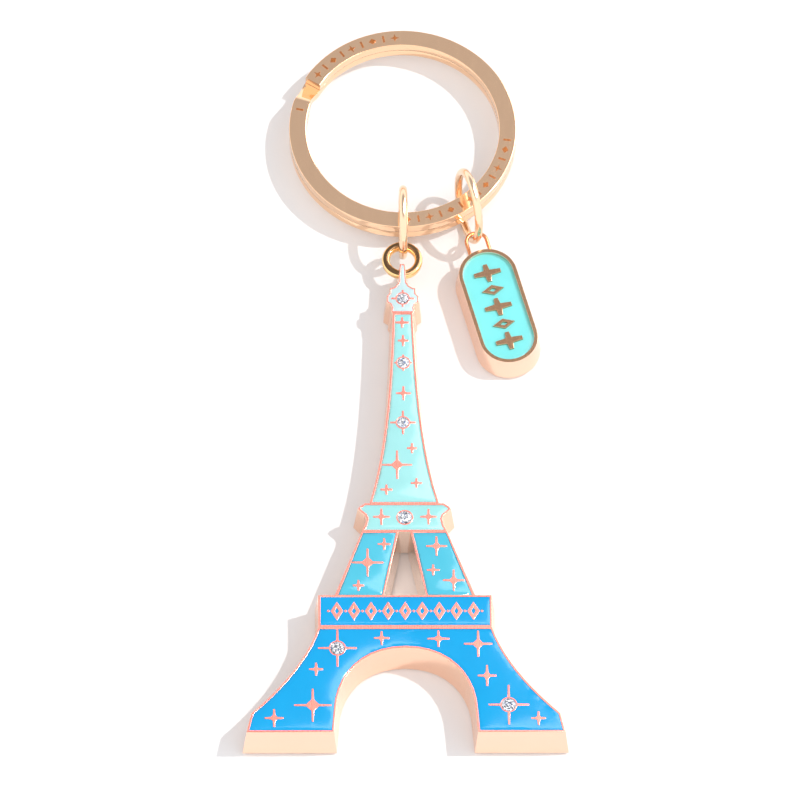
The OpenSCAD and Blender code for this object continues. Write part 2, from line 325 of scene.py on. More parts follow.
def bent_wire(path, section, across):
    """An open wire, whose cut ends are eased a little smaller."""
    path = np.asarray(path, float)
    start, end = path[1] - path[0], path[-2] - path[-1]
    near_start = path[0] + start / np.linalg.norm(start) * END_EASE
    near_end = path[-1] + end / np.linalg.norm(end) * END_EASE
    path = np.vstack([path[:1], [near_start], path[2:-2], [near_end], path[-1:]])
    last = len(path) - 1
    sections = [section * (END_SIZE if i in (0, last) else 1) for i in range(last + 1)]
    return swept(path, sections, across)


def arc(radius, start, end, steps):
    """Points of an arc about Z, with its angles in degrees."""
    turns = np.radians(np.linspace(start, end, steps + 1))
    return np.stack([radius * np.cos(turns), radius * np.sin(turns), 0 * turns], 1)


print("a round section has", len(round_section(1.0)), "points")

# %% [markdown]
# ## Materials
# Every finish is built from nodes. One function adds a node with its settings and links, and
# one turns an sRGB hex colour into the linear values that the shader works in.

# %% Colour and node helpers
def linear(hex_colour, alpha=1.0):
    """Linear colour of an sRGB hex value such as "#c8a080"."""
    values = [int(hex_colour[i:i + 2], 16) / 255 for i in (1, 3, 5)]
    return [v / 12.92 if v <= 0.04045 else ((v + 0.055) / 1.055) ** 2.4 for v in values] + [alpha]


def add(tree, kind, settings=None, values=None, links=None):
    """Adds a node: its settings, the values of its inputs, and links from (node, output)."""
    new = tree.nodes.new(kind)
    for name, value in (settings or {}).items():
        setattr(new, name, value)
    for name, value in (values or {}).items():
        new.inputs[name].default_value = value
    for name, (source, output) in (links or {}).items():
        tree.links.new(source.outputs[output], new.inputs[name])
    return new


def per_mm(size):
    """Texture scale at which one period of a pattern is that many millimetres."""
    return 1 / (size * MM)


print("mid grey #808080 is", round(linear("#808080")[0], 3), "in linear light")

# %% Start and end a material
def start_material(name):
    """An empty material, and the place in the object that its patterns are laid out from."""
    material = bpy.data.materials.new(name)
    material.use_nodes = True
    material.node_tree.nodes.clear()
    return material, add(material.node_tree, "ShaderNodeTexCoord")


def end_material(material, shader):
    """Joins a shader to the material's output."""
    add(material.node_tree, "ShaderNodeOutputMaterial", links={"Surface": (shader, "BSDF")})
    print("material:", material.name)
    return material


print("a pattern of 1 mm has a texture scale of", round(per_mm(1.0)))

# %% [markdown]
# ### Bright plated metal
# The casting is zinc alloy, polished in a drum and plated in rose gold, and the wire is
# plated a little paler. Plating over a drum finish is close to a mirror, with a soft orange
# peel about 1.6 mm across and hairlines too fine to see singly: 0.02 mm in truth, drawn here
# at 0.12 mm so that they show. Metallic is 1 and the IOR stays at its default.

# %% Plated metal
PLATING_PATCH = 6.0
HAIRLINE = 0.12
PEEL = 1.6
PEEL_DEPTH, HAIRLINE_DEPTH = 0.004, 0.002
NEARLY_FLAT, FLAT = 0.86, 0.97


def plated_metal(name, bright, deep, roughness, wear=0.05, flats=None):
    """Plating in two close tones; flats is a darker painted shade for level faces, if any."""
    material, where = start_material(name)
    tree = material.node_tree
    patches = add(tree, "ShaderNodeTexNoise", values={"Scale": per_mm(PLATING_PATCH), "Detail": 3},
                  links={"Vector": (where, "Object")})
    tone = add(tree, "ShaderNodeMix", {"data_type": "RGBA"},
               links={"Factor": (patches, "Fac")})
    tone.inputs[6].default_value = linear(bright)
    tone.inputs[7].default_value = linear(deep)
    colour = (tone, 2)
    # Painted shade: faces that point straight up or down take the darker flats tone.
    if flats:
        facing = add(tree, "ShaderNodeSeparateXYZ", links={"Vector": (where, "Normal")})
        flat_face = add(tree, "ShaderNodeMath", {"operation": "ABSOLUTE"},
                        links={0: (facing, "Z")})
        how_flat = add(tree, "ShaderNodeMapRange", {"interpolation_type": "SMOOTHSTEP"},
                       values={"From Min": NEARLY_FLAT, "From Max": FLAT},
                       links={"Value": (flat_face, "Value")})
        painted_shade_on_flats = add(tree, "ShaderNodeMix", {"data_type": "RGBA"},
                   links={"Factor": (how_flat, "Result"), 6: (tone, 2)})
        painted_shade_on_flats.inputs[7].default_value = linear(flats)
        colour = (painted_shade_on_flats, 2)
    stretch = add(tree, "ShaderNodeMapping",
                  values={"Scale": (per_mm(HAIRLINE), per_mm(HAIRLINE * 30), per_mm(HAIRLINE * 8)),
                          "Rotation": (0.2, 0.3, 0.5)},
                  links={"Vector": (where, "Object")})
    hairlines = add(tree, "ShaderNodeTexNoise", values={"Scale": 1.0, "Detail": 2},
                    links={"Vector": (stretch, "Vector")})
    rough = add(tree, "ShaderNodeMapRange",
                values={"From Min": 0.35, "From Max": 0.75,
                        "To Min": roughness, "To Max": roughness + wear},
                links={"Value": (hairlines, "Fac")})
    peel = add(tree, "ShaderNodeTexNoise", values={"Scale": per_mm(PEEL), "Detail": 1},
               links={"Vector": (where, "Object")})
    relief = add(tree, "ShaderNodeBump", values={"Strength": 0.12, "Distance": PEEL_DEPTH * MM},
                 links={"Height": (peel, "Fac")})
    lines = add(tree, "ShaderNodeBump",
                values={"Strength": 0.05, "Distance": HAIRLINE_DEPTH * MM},
                links={"Height": (hairlines, "Fac"), "Normal": (relief, "Normal")})
    shader = add(tree, "ShaderNodeBsdfPrincipled", values={"Metallic": 1.0},
                 links={"Base Color": colour, "Roughness": (rough, "Result"),
                        "Normal": (lines, "Normal")})
    return end_material(material, shader)


print(f"plating varies over {PLATING_PATCH} mm, its hairlines over {HAIRLINE} mm")

# %% [markdown]
# The same plating looks different from part to part. The ring and the wires are polished
# most. The raised lines get a pinker tone, a painted reflection; the walls between the legs
# are painted paler, which is painted light; and the flat tops of the tag are painted darker,
# which is painted shade. One function with a few colours keeps these finishes a family.

# %% The metals of the keychain
ring_plate = plated_metal("rose gold plate, polished", "#ffd8b2", "#fcd2ac", 0.09)
rose_plate = plated_metal("rose gold plate, tumbled", "#ffdac2", "#fcd4ba", 0.2)
# Painted light: a paler copy of the plating for the walls between the legs.
painted_light_gap_plate = plated_metal("rose gold plate, painted light in gap", "#fff0e4", "#ffeadc", 0.2)
# Painted reflection: a pinker copy of the plating for the raised lines.
rose_lines = plated_metal("rose gold plate, raised lines", "#fa8a7c", "#f68274", 0.26)
rose_marks = plated_metal("rose gold plate, etched marks", "#c67e4a", "#b8703e", 0.22)
# Painted shade: a darker copy of the plating for the tag's flat tops and marks.
painted_shade_tag_plate = plated_metal("rose gold plate, painted_shade_tops", "#cfa683", "#c69c79", 0.1)
copper_wire = plated_metal("rose gold wire", "#e09a70", "#d68e62", 0.12)
pale_wire = plated_metal("pale gold wire", "#fbdcbc", "#f4d0ac", 0.08)
# The eye's level faces are painted dark brown, a painted shade.
yellow_wire = plated_metal("yellow gold wire", "#ffd698", "#f6ca8c", 0.12, flats="#86684a")

# %% [markdown]
# ### Poured enamel
# Soft enamel is epoxy paint, poured into the cells and left to level. It dries with a glassy
# skin that pulls up slightly in the middle, over a body of very fine pigment. So the shader
# is a coloured body with a clear coat, faint clouds of pigment about 3 mm across, and grains
# that are drawn at 0.09 mm.

# %% Poured enamel
PIGMENT_CLOUD = 3.0
PIGMENT_GRAIN = 0.09
SKIN_DEPTH = 0.004


def poured_enamel(name, light, dark):
    """Enamel in two close tones under a clear glassy skin."""
    material, where = start_material(name)
    tree = material.node_tree
    clouds = add(tree, "ShaderNodeTexNoise", values={"Scale": per_mm(PIGMENT_CLOUD), "Detail": 2},
                 links={"Vector": (where, "Object")})
    grains = add(tree, "ShaderNodeTexNoise", values={"Scale": per_mm(PIGMENT_GRAIN), "Detail": 1},
                 links={"Vector": (where, "Object")})
    mottle = add(tree, "ShaderNodeMath", {"operation": "MULTIPLY"},
                 links={0: (clouds, "Fac"), 1: (grains, "Fac")})
    blend = add(tree, "ShaderNodeMapRange", values={"From Min": 0.12, "From Max": 0.4},
                links={"Value": (mottle, "Value")})
    tone = add(tree, "ShaderNodeMix", {"data_type": "RGBA"}, links={"Factor": (blend, "Result")})
    tone.inputs[6].default_value = linear(dark)
    tone.inputs[7].default_value = linear(light)
    skin = add(tree, "ShaderNodeBump", values={"Strength": 0.25, "Distance": SKIN_DEPTH * MM},
               links={"Height": (clouds, "Fac")})
    shader = add(tree, "ShaderNodeBsdfPrincipled",
                 values={"Roughness": 0.4, "IOR": 1.5, "Specular IOR Level": 0.0,
                         "Coat Weight": 0.6, "Coat IOR": 1.55, "Coat Roughness": 0.11},
                 links={"Base Color": (tone, 2), "Coat Normal": (skin, "Normal")})
    return end_material(material, shader)


frost_enamel = poured_enamel("frost blue enamel", "#bed6d8", "#b6d0d2")
aqua_enamel = poured_enamel("aqua enamel", "#9cd6d5", "#94d0cf")
sky_enamel = poured_enamel("sky blue enamel", "#52b8cf", "#4ab2ca")
deep_enamel = poured_enamel("deep blue enamel", "#0f9dd6", "#0b98d1")
turquoise_enamel = poured_enamel("turquoise enamel", "#80e0e0", "#76d8d8")

# %% [markdown]
# ### Cut glass stones
# The stones are machine-cut lead glass with a foil back, so what the eye gets is a patchwork
# of foil reflections, white, grey and a little blue, each the size of a facet. The facets
# are real geometry, and the patches seen through them are a cell pattern 0.13 mm across
# under a glassy coat. Real refraction would need far more light paths than so small a stone
# is worth. The foil is metallic, and the crystal glass over it has an IOR of about 1.55.

# %% Cut glass on foil
FACET_PATCH = 0.13
FOIL_RELIEF = 0.03


def cut_glass(name):
    """Facet-sized patches of painted reflection, from dark grey to white and a little blue, under
    glass.
    """
    material, where = start_material(name)
    tree = material.node_tree
    cells = add(tree, "ShaderNodeTexVoronoi", {"feature": "F1"},
                values={"Scale": per_mm(FACET_PATCH)}, links={"Vector": (where, "Object")})
    parts = add(tree, "ShaderNodeSeparateColor", links={"Color": (cells, "Color")})
    # Painted reflection: the foil's reflections are painted as patches of grey, white and blue.
    tones = add(tree, "ShaderNodeValToRGB", links={"Fac": (parts, "Red")})
    ramp = tones.color_ramp
    ramp.interpolation = "CONSTANT"
    ramp.elements[0].color = linear("#3c404a")
    ramp.elements[1].position = 0.22
    ramp.elements[1].color = linear("#8e929c")
    for position, colour in ((0.42, "#f0f1f4"), (0.6, "#babec6"), (0.75, "#ffffff"),
                             (0.93, "#6f88b8")):
        ramp.elements.new(position).color = linear(colour)
    tilt = add(tree, "ShaderNodeBump", values={"Strength": 0.5, "Distance": FOIL_RELIEF * MM},
               links={"Height": (parts, "Green")})
    shader = add(tree, "ShaderNodeBsdfPrincipled",
                 values={"Metallic": 0.35, "Roughness": 0.12, "Coat Weight": 1.0,
                         "Coat IOR": 1.55, "Coat Roughness": 0.01},
                 links={"Base Color": (tones, "Color"), "Normal": (tilt, "Normal")})
    return end_material(material, shader)


crystal = cut_glass("cut glass")

# %% [markdown]
# ## The key ring
# A split ring is one flat band wound twice. Between its two ends, the band steps from the
# lower turn to the upper one. A solid torus would hide that, so the band is really swept
# round two turns, with the outer edges eased and the meeting edges left almost sharp.

# %% Key ring
ring_low, ring_high = (Vector(corner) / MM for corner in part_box("key_ring"))
ring_middle = (ring_low + ring_high) / 2
ring_outer = (ring_high.x - ring_low.x) / 2
BAND_WIDTH = 2.25
SEAM = 0.06
turn_high = (ring_high.z - ring_low.z - SEAM) / 2
STEP_FROM, STEP_TO = 150.0, 164.0
END_GAP = 1.2
MEETING_EDGE = 0.006
OUTER_EDGE = 0.08


def band_section(upper):
    """The flat band's section for the lower turn, the upper turn (1) or a step between."""
    w, h = BAND_WIDTH / 2, turn_high
    low = OUTER_EDGE * (1 - upper) + MEETING_EDGE * upper
    high = MEETING_EDGE * (1 - upper) + OUTER_EDGE * upper
    corners = ((1, False, low), (1, True, high), (-1, True, high), (-1, False, low))
    section = []
    for number, (side, top, ease) in enumerate(corners):
        corner = [(side * (w - d), h - v if top else v) for d, v in eased(ease, 3)]
        section += corner[::-1] if number % 2 else corner
    return np.array(section)


print(f"the band is {BAND_WIDTH} mm wide, and each turn {turn_high:.2f} mm high")

# %% Wind the ring
TURN_STEP = 1.5
ring_turns = np.arange(STEP_TO + END_GAP, STEP_FROM + 720 - END_GAP + 0.1, TURN_STEP)
band_radius = ring_outer - BAND_WIDTH / 2
ring_path, ring_sections = [], []
for turn in ring_turns:
    raised = min(max((turn - STEP_FROM - 360) / (STEP_TO - STEP_FROM), 0), 1)
    raised = raised * raised * (3 - 2 * raised)
    x, y, _ = arc(band_radius, turn, turn, 0)[0]
    ring_path.append((x, y, raised * (turn_high + SEAM)))
    ring_sections.append(band_section(raised))
ring_place = Matrix.Translation((ring_middle.x, ring_middle.y, ring_low.z))
key_ring = make_piece("key_ring_band", *swept(ring_path, ring_sections, (0, 0, 1)), ring_place)
fit_piece(key_ring, ring_plate, "ring", "rose_gold_plate", "key_ring")

# %% [markdown]
# Three runs of small etched marks follow the band's upper face. They are a plain ornament of
# stars, lozenges and bars, about 1 mm across, and each is a thin raised shape rather than a
# picture, so it stays sharp from any distance.

# %% Etched marks on the key ring
MARK_PITCH = 6.2
MARK_SCALE = 1.45
MARK_RUNS = ((94, 146), (168, 174), (-88, -2))
star_mark = np.array([(0.42, 0), (0.1, 0.1), (0, 0.42), (-0.1, 0.1),
                      (-0.42, 0), (-0.1, -0.1), (0, -0.42), (0.1, -0.1)])
lozenge_mark = np.array([(0.3, 0), (0, 0.36), (-0.3, 0), (0, -0.36)])
bar_mark = np.array([(0.34, -0.09), (0.34, 0.09), (-0.34, 0.09), (-0.34, -0.09)])


def turned(loop, degrees, shift):
    """The outline turned about its own middle and then shifted."""
    a = math.radians(degrees)
    turn = np.array([[math.cos(a), math.sin(a)], [-math.sin(a), math.cos(a)]])
    return loop @ turn + np.asarray(shift)


print("one etched star is", round(size_of(star_mark * MARK_SCALE), 2), "mm across")

# %% Place the etched marks round the band
marks, number = [], 0
for start, end in MARK_RUNS:
    for angle in np.arange(start, end + 0.1, MARK_PITCH):
        centre = arc(band_radius, angle, angle, 0)[0][:2]
        kind = (star_mark, bar_mark, lozenge_mark, bar_mark)[number % 4]
        marks.append(counter_clockwise(turned(kind * MARK_SCALE, angle, centre)))
        number += 1
ring_height = ring_high.z - ring_low.z
mark_levels = [(0, ring_height - 0.03), (0, ring_height + 0.012), (-0.012, ring_height + 0.02)]
ring_marks = make_piece("key_ring_marks", *stacked(marks, mark_levels), ring_place)
fit_piece(ring_marks, rose_marks, "ring", "rose_gold_plate")

# %% [markdown]
# ## Jump rings, eye and bail
# Each jump ring is round wire, bent until its cut ends meet in a butt joint. The joint is
# kept as a real hairline gap, because a closed torus looks printed rather than bent. The eye
# at the back of the spire has been pressed, so its section is flatter.

# %% Jump rings
BUTT_JOINT = 0.5
WIRE_STEPS = 144
TOWER_LINK_RADIUS, TOWER_LINK_WIRE, TOWER_LINK_X = 4.35, 0.55, 0.13
TAG_LINK_RADIUS, TAG_LINK_WIRE, TAG_LINK_X, TAG_LINK_BACK = 4.55, 0.52, 8.78, 12.16
TAG_LINK_LEAN, TAG_LINK_HEADING = math.radians(96.4), math.radians(15)


def jump_ring(name, radius, wire, place):
    """Round wire bent to a ring, with its butt joint where the ring's own X axis points."""
    path = arc(radius, BUTT_JOINT / 2, 360 - BUTT_JOINT / 2, WIRE_STEPS)
    return make_piece(name, *bent_wire(path, round_section(wire), (0, 0, 1)), place)


def centre_of(node):
    """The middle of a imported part's box, in mm."""
    low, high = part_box(node)
    return (Vector(low) + Vector(high)) / (2 * MM)


tower_link_place = Matrix.Translation((TOWER_LINK_X, centre_of("tower_link").y,
                                       TOWER_LINK_RADIUS + TOWER_LINK_WIRE))
tower_link = jump_ring("tower_jump_ring", TOWER_LINK_RADIUS, TOWER_LINK_WIRE,
                       tower_link_place @ Matrix.Rotation(math.radians(90), 4, "Y"))
fit_piece(tower_link, pale_wire, "tower_ring", "pale_gold_wire", "tower_link")

tag_link_place = Matrix.Translation((TAG_LINK_X, ring_middle.y - TAG_LINK_BACK,
                                     TAG_LINK_RADIUS + TAG_LINK_WIRE))
tag_link = jump_ring("tag_jump_ring", TAG_LINK_RADIUS, TAG_LINK_WIRE,
                     tag_link_place @ Matrix.Rotation(TAG_LINK_HEADING, 4, "Z")
                     @ Matrix.Rotation(TAG_LINK_LEAN, 4, "Y"))
fit_piece(tag_link, pale_wire, "tag_ring", "pale_gold_wire", "tag_link")

# %% [markdown]
# The eye is closed by the casting that is poured around it, so it has no joint to show. It
# was pressed flat after it was bent: a section between a circle and a square gives that.

# %% Eye at the back of the spire
EYE_RADIUS, EYE_WIRE, EYE_SQUARENESS = 2.15, 0.52, 3.6
eye_path = arc(EYE_RADIUS, 0, 360 - 360 / WIRE_STEPS, WIRE_STEPS - 1)
eye_sections = [round_section(EYE_WIRE, EYE_SQUARENESS)] * WIRE_STEPS
eye = make_piece("tower_eye", *swept(eye_path, eye_sections, (0, 0, 1), closed=True),
                 Matrix.Translation(centre_of("tower_eyelet")))
fit_piece(eye, yellow_wire, "tower", "yellow_gold_wire", "tower_eyelet")

# %% [markdown]
# ## The tower's casting
# The casting is a plate 5.6 mm thick. Its walls spread by 0.4 mm towards the back, as they
# must to leave the mould, and tumbling has rounded the back edges. It ends in a low rim
# around a flat floor, and the raised metal stands on that floor. The walls between the legs
# are painted paler: painted light, which lifts the shade in that narrow gap.

# %% Casting
DRAFT = 0.4
BACK_ROUND = 0.55
RIM = 0.14
RIM_TOP = tower_top - 0.02
GAP_REACH = 0.3


def back_and_wall(rounding):
    """Levels from a rounded back edge up to the foot of the wall, spread by the draft."""
    return [(DRAFT - d, v) for d, v in eased(rounding, 6)]


casting_levels = back_and_wall(BACK_ROUND) + [
    (0.0, tower_top - 0.1), (-0.02, tower_top - 0.045), (-0.06, RIM_TOP), (-RIM, RIM_TOP),
    (-RIM, cell_floor)]
casting = make_piece("tower_body", *stacked([tower_outline, gap_outline], casting_levels))
fit_piece(casting, rose_plate, "tower", "rose_gold_plate", "tower_casting")
# Painted light: faces near the gap between the legs take the paler plating.
casting.data.materials.append(painted_light_gap_plate)
in_gap = inside([tuple(face.center[:2]) for face in casting.data.polygons],
                [moved(gap_outline, GAP_REACH) * MM])
for face, recessed in zip(casting.data.polygons, in_gap):
    face.material_index = int(recessed)

# %% [markdown]
# ## The raised metal
# The lines between the enamel cells, the stars, the banner's lozenges and a collet round each
# stone are one layer of metal, polished flat on top. Its edges are eased by a few hundredths
# of a millimetre, which is what catches the light. Two of its outlines, the largest and the
# one round the gap between the legs, are taken from the casting instead, each moved into the
# metal by the width of the eased edge.

# %% Raised lines, stars and collets
EDGE = 0.035
raised_loops = sorted(outlines_at("tower_cell_walls", tower_top), key=size_of)
raised_loops.pop()
gap_size = size_of(gap_outline)
gap_loop = min(raised_loops, key=lambda loop: np.abs(loop.mean(0) - gap_outline.mean(0)).sum()
               + abs(size_of(loop) - gap_size))
raised_loops = [loop for loop in raised_loops if loop is not gap_loop]
raised_loops += [moved(tower_outline, -EDGE), moved(gap_outline, EDGE)]
raised_levels = [(0, cell_floor - 0.1), (0, tower_top - EDGE),
                 (-0.3 * EDGE, tower_top - 0.3 * EDGE), (-EDGE, tower_top)]
raised = make_piece("tower_raised_lines", *stacked(raised_loops, raised_levels))
fit_piece(raised, rose_lines, "tower", "rose_gold_plate", "tower_cell_walls")

# %% [markdown]
# ## The enamel
# Liquid enamel clings to the metal around it and swells in the middle of a cell. A stretched
# skin pushed up from below takes the same shape: each point settles at the mean height of
# its neighbours plus a small push. Its square root gives the round shoulder of a poured
# surface. The swell stays below the tops of the stars, so the surface normals are taken from
# a steeper copy of it, as the glassy skin bends light more than its height tells.

# %% Poured surfaces
GRID = 0.26
ROW_PITCH = 0.866
SHORE = 0.45
SETTLING = 900


def distance_to(points, loops):
    """How far each point is from the nearest outline."""
    near = np.full(len(points), 1e9)
    for loop in loops:
        for a, b in zip(loop, np.roll(loop, -1, axis=0)):
            span = b - a
            t = np.clip(((points - a) @ span) / (span @ span), 0, 1)
            near = np.minimum(near, np.linalg.norm(points - a - t[:, None] * span, axis=1))
    return near


print("the middle of the square is", distance_to(np.zeros((1, 2)), [square])[0], "mm from it")

# %% [markdown]
# Custom normals tell the renderer which way each corner of a surface faces, whatever the
# mesh itself does. Here they come from the steeper copy of the swell.

# %% Normals from a steeper surface
def bend_light(pool, flat, triangles, heights, above):
    """Takes the normals of a pool's upper face from a surface with those heights."""
    corners = np.column_stack([flat, heights])[triangles]
    across = np.cross(corners[:, 1] - corners[:, 0], corners[:, 2] - corners[:, 0])
    across *= np.sign(across[:, 2:])
    summed = np.zeros((len(flat), 3))
    for k in range(3):
        np.add.at(summed, triangles[:, k], across)
    summed /= np.linalg.norm(summed, axis=1)[:, None]
    tree = KDTree(len(flat))
    for i, (x, y) in enumerate(flat):
        tree.insert((x, y, 0), i)
    tree.balance()
    mesh = pool.data
    mesh.shade_smooth()
    loop_normals = []
    for face in mesh.polygons:
        for i in face.vertices:
            x, y, z = mesh.vertices[i].co / MM
            if z > above and face.normal.z > 0.5:
                loop_normals.append(tuple(summed[tree.find((x, y, 0))[1]]))
            else:
                loop_normals.append(tuple(face.normal))
    mesh.normals_split_custom_set(loop_normals)


print("normals are taken from the nearest point of the steeper surface")

# %% Pour one pool
def pour(name, loops, low, edge, slope, most):
    """A pool of enamel from its floor up to its edge, with a swelling up to a most height."""
    corners = np.vstack(loops)
    left, front = corners.min(0)
    right, back = corners.max(0)
    rows = np.arange(front, back, GRID * ROW_PITCH)
    spots = [(x + GRID / 2 * (r % 2), y) for r, y in enumerate(rows)
             for x in np.arange(left, right, GRID)]
    spots = np.array(spots)
    spots = spots[inside(spots, loops)]
    spots = spots[distance_to(spots, loops) > GRID * SHORE]
    flat, triangles = filled(loops, spots)
    shores = [loop for loop in loops
              if not inside(loop[:1], [o for o in loops if o is not loop])[0]]
    free = distance_to(flat, shores) > 1e-3
    pairs = np.vstack([triangles[:, [0, 1]], triangles[:, [1, 2]], triangles[:, [2, 0]]])
    pairs = np.unique(np.sort(pairs, axis=1), axis=0)
    ends, others = np.concatenate([pairs, pairs[:, ::-1]]).T
    count = np.maximum(np.bincount(ends, minlength=len(flat)), 1)
    push = np.zeros(len(flat))
    for _ in range(SETTLING):
        mean = np.bincount(ends, push[others], len(flat)) / count
        push = np.where(free, mean + GRID ** 2 / 4, 0)
    steep = np.sqrt(2 * push)
    swell = most * steep / max(steep.max(), 1e-6)
    size = len(flat)
    points = [(x, y, edge + s) for (x, y), s in zip(flat, swell)] + [(x, y, low) for x, y in flat]
    faces = [tuple(t) for t in triangles] + [tuple(size + t[::-1]) for t in triangles]
    edges = {(t[k], t[(k + 1) % 3]): None for t in triangles for k in range(3)}
    faces += [(b, a, size + a, size + b) for a, b in edges if (b, a) not in edges]
    pool = make_piece(name, points, faces, flat=True)
    bend_light(pool, flat, triangles, slope * steep, edge - 1e-3)
    return pool


print(f"a pool's points lie {GRID} mm apart")

# %% [markdown]
# The tower is filled from pale to deep blue, top to bottom. The last number of each cell is
# how steep its swell looks: wide cells look flatter, because their middle has levelled.

# %% Fill the cells of the tower
tower_cells = [
    ("enamel_finial", frost_enamel, "frost_blue_enamel", 0.1),
    ("enamel_shaft", aqua_enamel, "aqua_enamel", 0.15),
    ("enamel_collar", aqua_enamel, "aqua_enamel", 0.08),
    ("enamel_left_leg", sky_enamel, "sky_blue_enamel", 0.14),
    ("enamel_right_leg", sky_enamel, "sky_blue_enamel", 0.14),
    ("enamel_banner", deep_enamel, "deep_blue_enamel", 0.05),
    ("enamel_base", deep_enamel, "deep_blue_enamel", 0.05),
]
MOST_SWELL = 0.035
for node, finish, slot_name, steepness in tower_cells:
    enamel_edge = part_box(node)[1][2] / MM
    pool = pour(f"{node}_pool", outlines_at(node, enamel_edge), cell_floor, enamel_edge,
                steepness, MOST_SWELL)
    fit_piece(pool, finish, "tower", slot_name, node)

# %% [markdown]
# ## The stones
# A round brilliant has a flat table, a crown of small facets, a thin girdle and a pointed
# pavilion. All its corners lie on one convex body, so a convex hull through them gives every
# facet at once, and flat shading keeps each facet crisp.

# %% Round brilliants
STONE_PLAY, PAVILION = 0.01, 0.56


def circle_of(count, radius, height, turn=0.0):
    """Corners spaced evenly round a level circle, turned by a share of their spacing."""
    return [(radius * math.cos(2 * math.pi * (i + turn) / count),
             radius * math.sin(2 * math.pi * (i + turn) / count), height) for i in range(count)]


def brilliant(node):
    """A cut stone that fills the box of a packed one, with its point down in the seat."""
    low, high = (Vector(corner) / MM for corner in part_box(node))
    r = (high.x - low.x) / 2 - STONE_PLAY
    top, deep = high.z - low.z, PAVILION
    corners = (circle_of(8, 0.56 * r, top, 0.5) + circle_of(8, 0.8 * r, deep + 0.68 * (top - deep))
               + circle_of(16, r, deep + 0.06) + circle_of(16, r, deep)
               + circle_of(8, 0.5 * r, 0.42 * deep, 0.5) + [(0, 0, 0.02)])
    hull = bmesh.new()
    for corner in corners:
        hull.verts.new(corner)
    bmesh.ops.convex_hull(hull, input=hull.verts)
    hull.verts.ensure_lookup_table()
    points = [v.co[:] for v in hull.verts]
    hull.verts.index_update()
    faces = [[v.index for v in f.verts] for f in hull.faces]
    hull.free()
    place = Matrix.Translation(((low.x + high.x) / 2, (low.y + high.y) / 2, low.z))
    return make_piece(f"{node}_cut", points, faces, place, flat=True)


print("a brilliant's corners:", 8 + 8 + 16 + 16 + 8 + 1)

# %% Set the six stones
for node in sorted(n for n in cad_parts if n.startswith("stone_")):
    fit_piece(brilliant(node), crystal, "tower", "crystal", node)

# %% [markdown]
# ## The tag
# The tag is a small cast tray with two round ends. Its rim stands over the enamel, and five
# marks stand in it: three stars and two pierced lozenges. It uses the same stacked outlines
# as the tower, with a slightly rounder back, and the same poured surface, almost level. The
# flat tops are painted darker, a painted shade, and are one material of their own.

# %% Measures of the tag
tag_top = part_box("tag_casting")[1][2] / MM
tag_loops = sorted(outlines_at("tag_casting", tag_top), key=size_of)
tag_enamel_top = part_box("tag_enamel")[1][2] / MM
TAG_MARK_RISE = 0.3
TAG_BACK_ROUND = 0.6
TRAY_DEPTH = 0.3
TRAY_FLOOR = tag_enamel_top - TRAY_DEPTH
tag_outer, tag_inner = tag_loops[-1], tag_loops[0]
tray_levels = back_and_wall(TAG_BACK_ROUND) + [
    (0.0, tag_top - 0.05), (-0.01, tag_top - 0.012), (-0.03, tag_top)]
print(f"tag: {len(tag_outer)} points outside, {len(tag_inner)} inside")

# %% Tag tray
def tray(outer_levels, inner_levels, floor):
    """An outline pulled up through levels, closed over to an inner one, and down to a floor."""
    points, faces = [], []
    for levels in (outer_levels, inner_levels):
        n, first = len(levels[0][0]), len(points)
        for loop, height in levels:
            points += [(x, y, height) for x, y in loop]
        faces += [(first + k * n + i, first + k * n + (i + 1) % n,
                   first + (k + 1) * n + (i + 1) % n, first + (k + 1) * n + i)
                  for k in range(len(levels) - 1) for i in range(n)]
    for loops, height in (([outer_levels[0][0]], outer_levels[0][1]),
                          ([outer_levels[-1][0], inner_levels[0][0]], outer_levels[-1][1]),
                          ([inner_levels[-1][0]], floor)):
        flat, triangles = filled(loops)
        faces += [tuple(len(points) + t) for t in triangles]
        points += [(x, y, height) for x, y in flat]
    return points, faces


tag_tray = make_piece("tag_tray", *tray(
    [(moved(tag_outer, d), v) for d, v in tray_levels],
    [(moved(tag_inner, 0.015), tag_top), (tag_inner, tag_top - 0.015),
     (tag_inner, TRAY_FLOOR)],
    TRAY_FLOOR))
fit_piece(tag_tray, rose_plate, "tag", "rose_gold_plate", "tag_casting")
# Painted shade: the tray's level top faces take the darker plating.
tag_tray.data.materials.append(painted_shade_tag_plate)
for face in tag_tray.data.polygons:
    face.material_index = int(face.center.z > (tag_top - 0.001) * MM)

# %% Marks in the tray
mark_top = tag_enamel_top + TAG_MARK_RISE
mark_loops = outlines_at("tag_casting", mark_top)
tag_mark_levels = [(0, TRAY_FLOOR - 0.05), (0, mark_top - 0.06), (-0.015, mark_top - 0.02),
                   (-0.05, mark_top)]
tag_marks = make_piece("tag_marks", *stacked(mark_loops, tag_mark_levels))
# The marks take the same painted shade.
fit_piece(tag_marks, painted_shade_tag_plate, "tag", "rose_gold_plate")

# %% [markdown]
# The tag's enamel is one pool with the marks standing in it. It is poured with the same
# function as the tower's, but nearly level, because so wide a pool has time to flatten.

# %% Tag enamel
TAG_STEEPNESS, TAG_SWELL, INTO_TRAY = 0.03, 0.04, 0.04
tag_pool = pour("tag_enamel_pool", outlines_at("tag_enamel", tag_enamel_top),
                TRAY_FLOOR - INTO_TRAY, tag_enamel_top, TAG_STEEPNESS, TAG_SWELL)
fit_piece(tag_pool, turquoise_enamel, "tag", "turquoise_enamel", "tag_enamel")

# %% [markdown]
# The bail is thin copper-coloured wire, bent to a hairpin whose legs are let into the end of
# the tag. It could be half a torus on two cylinders, but one sweep has no joins to hide.

